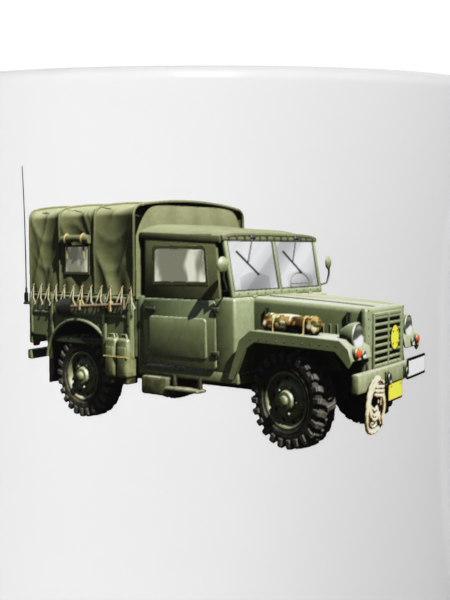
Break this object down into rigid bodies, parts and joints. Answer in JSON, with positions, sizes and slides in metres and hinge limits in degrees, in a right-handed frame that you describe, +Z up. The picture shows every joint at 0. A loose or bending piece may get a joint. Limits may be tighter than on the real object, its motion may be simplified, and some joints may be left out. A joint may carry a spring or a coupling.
{
  "type": "glazed ceramic mug with a printed picture",
  "caption": "Straight-walled white glazed drinking mug with a loop handle and a colour picture of a canvas-covered field lorry printed on its wall.",
  "frame": {"origin": "on the cup's axis, in the plane that the foot ring stands on", "axes": "+Z up along the cup's axis, +X towards the handle, and the printed picture faces -Y"},
  "size_m": [0.1153, 0.0821, 0.095],
  "materials": {
    "glaze": "glossy white glaze",
    "print": "glossy fired print, mostly olive, with black, khaki, yellow and orange-red"
  },
  "bodies": {
    "root": {"cup_body": "glaze", "handle": "glaze", "printed_picture": "print"}
  },
  "joints": []
}
